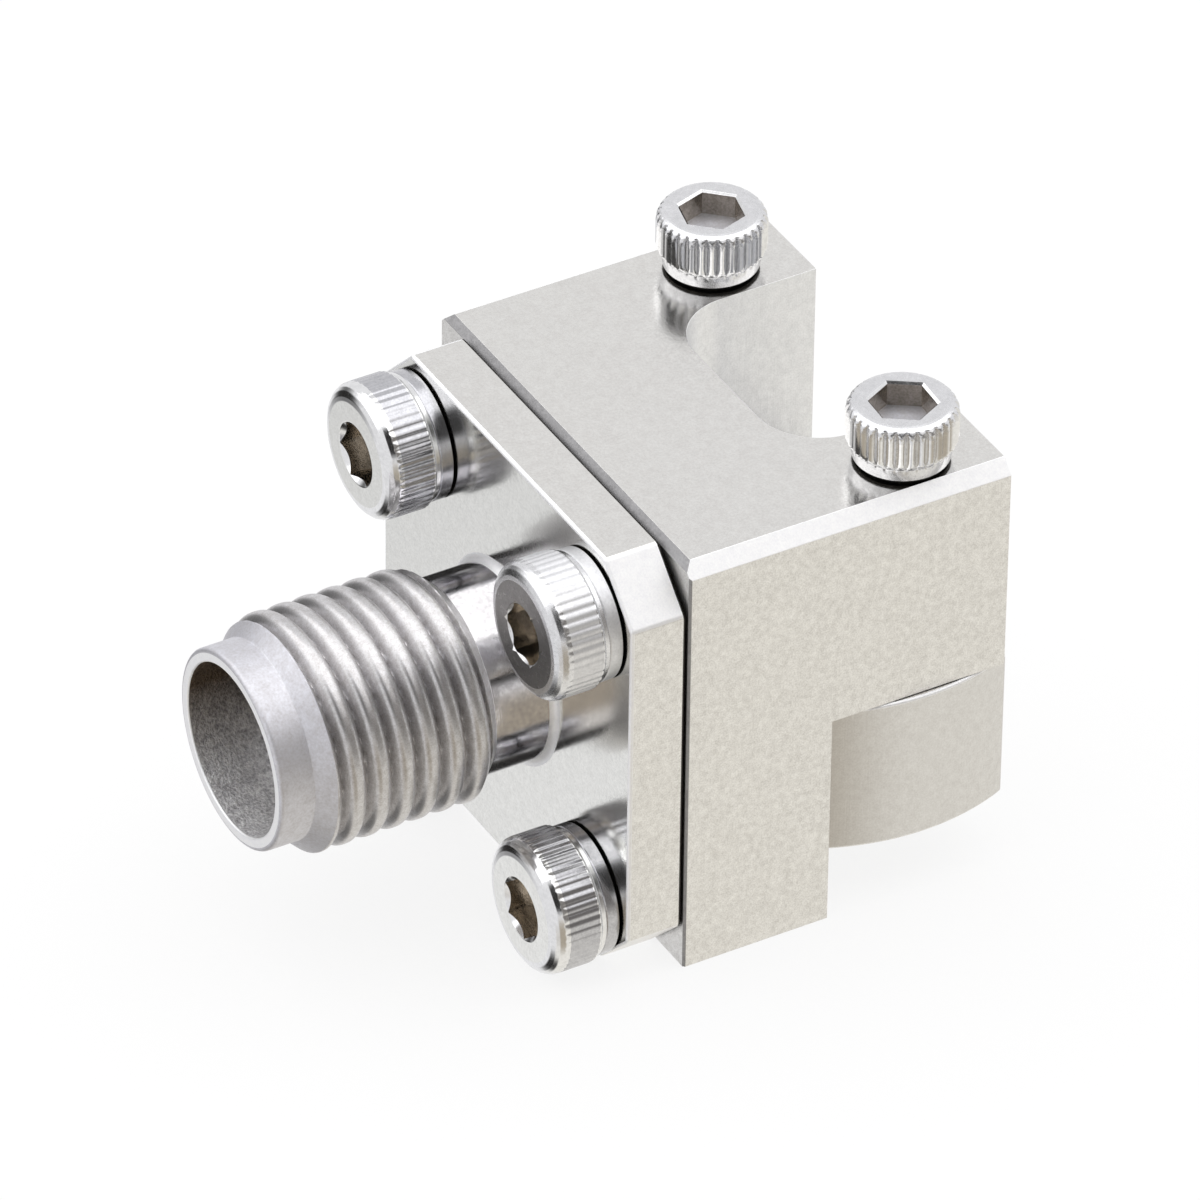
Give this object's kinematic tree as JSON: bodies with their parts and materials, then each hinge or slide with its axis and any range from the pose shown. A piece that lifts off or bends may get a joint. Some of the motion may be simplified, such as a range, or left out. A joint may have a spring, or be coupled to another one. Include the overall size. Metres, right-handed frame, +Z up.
{
  "type": "edge launch connector",
  "caption": "Clamp-on edge launch coaxial connector: threaded jack on a screwed flange, slotted upper jaw and round lower clamp that grip a board's edge.",
  "frame": {"origin": "centre of the mating face, on the coupling's axis", "axes": "+Y back along the coupling's axis to the board, +Z up away from the board, X across the board's edge"},
  "size_m": [0.013, 0.019, 0.0142],
  "materials": {
    "shell_steel": "turned passivated stainless steel, satin",
    "block_steel": "milled passivated stainless steel, fine matt grain",
    "screw_steel": "bright polished stainless steel",
    "contact_gold": "gold-plated copper alloy",
    "seal_gold": "gold-plated sealing alloy",
    "seal_glass": "dark sealing glass",
    "bead_plastic": "amber engineering plastic",
    "sleeve_ptfe": "white fluoropolymer"
  },
  "bodies": {
    "connector": {"connector_shell": "shell_steel", "housing_block": "block_steel", "clamp_screw_left": "screw_steel", "clamp_screw_right": "screw_steel", "flange_screw_upper_left": "screw_steel", "flange_screw_upper_right": "screw_steel", "flange_screw_lower_left": "screw_steel", "flange_screw_lower_right": "screw_steel", "flange_washer_upper_left": "screw_steel", "flange_washer_upper_right": "screw_steel", "flange_washer_lower_left": "screw_steel", "flange_washer_lower_right": "screw_steel", "centre_contact": "contact_gold", "support_bead": "bead_plastic", "bead_retainer": "shell_steel", "seal_ring": "seal_gold", "seal_glass": "seal_glass", "launch_sleeve": "sleeve_ptfe", "launch_pin": "contact_gold"},
    "clamp": {"clamp_jaw": "block_steel"}
  },
  "joints": [
    {"name": "clamp_slide", "type": "slide", "parent": "connector", "child": "clamp", "axis": [0, 0, -1], "range_m": [0, 0.0016]}
  ]
}
